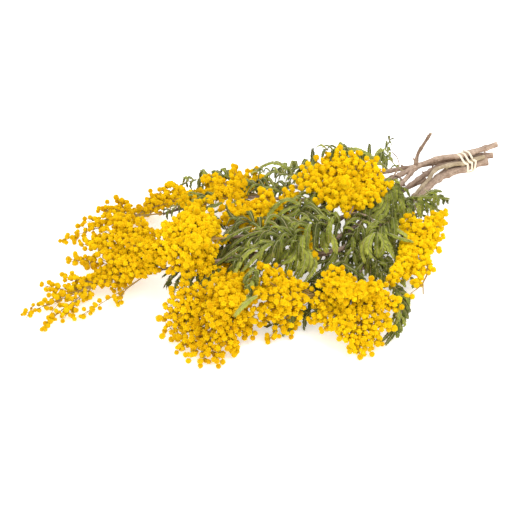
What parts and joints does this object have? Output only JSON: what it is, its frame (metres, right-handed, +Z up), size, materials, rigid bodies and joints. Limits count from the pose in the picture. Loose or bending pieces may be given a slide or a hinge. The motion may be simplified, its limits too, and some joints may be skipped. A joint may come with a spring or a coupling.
{
  "type": "tied mimosa bunch",
  "caption": "Bunch of cut, drying mimosa branches with yellow puff flowers and feathery leaves, tied with an elastic and lying down.",
  "frame": {"origin": "centre of the bunch's bounding box, on the surface that it lies on", "axes": "+X along the bunch from the flower tips to the cut ends of the stems, +Y to the back of the bunch as the camera sees it, +Z up"},
  "size_m": [0.5652, 0.334, 0.1071],
  "materials": {
    "bark": "dry pinkish-brown bark, matt, with small knobs and fine cracks",
    "green_bark": "young green-tan bark, slightly satin",
    "puff_flowers": "fuzzy golden-yellow flower heads, matt",
    "dried_leaf": "dry dusty-olive leaves with pale ribs, matt",
    "natural_rubber": "cream natural rubber, slightly satin"
  },
  "bodies": {
    "root": {"elastic_tie": "natural_rubber", "flowers_back_left": "puff_flowers", "flowers_back_middle": "puff_flowers", "flowers_back_right": "puff_flowers", "flowers_back_tip": "puff_flowers", "flowers_dome_front": "puff_flowers", "flowers_dome_left": "puff_flowers", "flowers_dome_upper": "puff_flowers", "flowers_front_hanging": "puff_flowers", "flowers_front_sparse": "puff_flowers", "flowers_inner_sparse": "puff_flowers", "flowers_left_high": "puff_flowers", "flowers_left_low": "puff_flowers", "flowers_left_middle": "puff_flowers", "flowers_long_stalk": "puff_flowers", "flowers_rear_sparse": "puff_flowers", "flowers_right": "puff_flowers", "flowers_thin_spray": "puff_flowers", "flowers_tip": "puff_flowers", "flowers_under": "puff_flowers", "leaf_back_left": "dried_leaf", "leaf_back_middle": "dried_leaf", "leaf_back_right": "dried_leaf", "leaf_behind_dome": "dried_leaf", "leaf_by_stems": "dried_leaf", "leaf_centre": "dried_leaf", "leaf_centre_left": "dried_leaf", "leaf_centre_right": "dried_leaf", "leaf_curled": "dried_leaf", "leaf_front_dark": "dried_leaf", "leaf_front_long": "dried_leaf", "leaf_front_low": "dried_leaf", "leaf_inner": "dried_leaf", "leaf_long_stalk": "dried_leaf", "leaf_low_middle": "dried_leaf", "leaf_rear_arch": "dried_leaf", "leaf_rear_low": "dried_leaf", "leaf_right_low": "dried_leaf", "leaf_shaded": "dried_leaf", "leaf_single": "dried_leaf", "leaf_under_dome": "dried_leaf", "leaf_under_stems": "dried_leaf", "leaf_upper_right": "dried_leaf", "stem_back": "bark", "stem_dark": "bark", "stem_front": "bark", "stem_green": "green_bark", "stem_thick": "bark", "stem_upper": "bark"}
  },
  "joints": []
}
